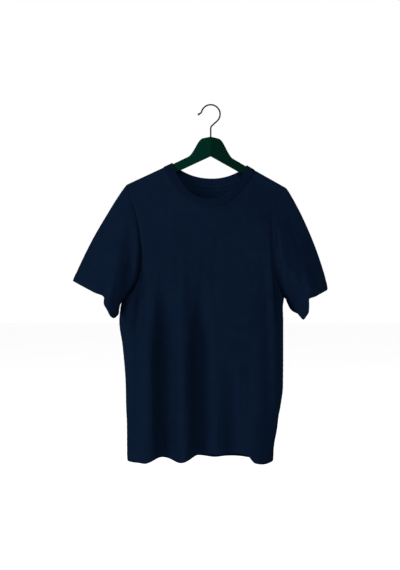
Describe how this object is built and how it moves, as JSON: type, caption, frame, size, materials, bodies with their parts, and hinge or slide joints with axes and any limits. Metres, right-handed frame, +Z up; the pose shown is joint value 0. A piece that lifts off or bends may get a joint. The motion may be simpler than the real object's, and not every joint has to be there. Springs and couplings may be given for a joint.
{
  "type": "crew neck t-shirt on a hanger",
  "caption": "Short-sleeved crew neck t-shirt hanging open on a plain two-arm hanger with a wire hook.",
  "frame": {"origin": "inner top of the hanger's hook, where it hangs on a rail", "axes": "+Z up along the hook, -Y out of the shirt's front, +X towards the right shoulder as seen from the front"},
  "size_m": [0.6362, 0.1444, 0.8927],
  "materials": {
    "navy_jersey": "matt cotton single jersey, navy",
    "navy_rib": "matt cotton one by one rib, navy",
    "green_paint": "wood under dark green satin lacquer",
    "dark_wire": "polished dark steel wire"
  },
  "bodies": {
    "root": {"front_panel": "navy_jersey", "back_panel": "navy_jersey", "left_sleeve": "navy_jersey", "right_sleeve": "navy_jersey", "neckband": "navy_rib", "hanger_arm_left": "green_paint", "hanger_arm_right": "green_paint", "hook": "dark_wire"}
  },
  "joints": []
}
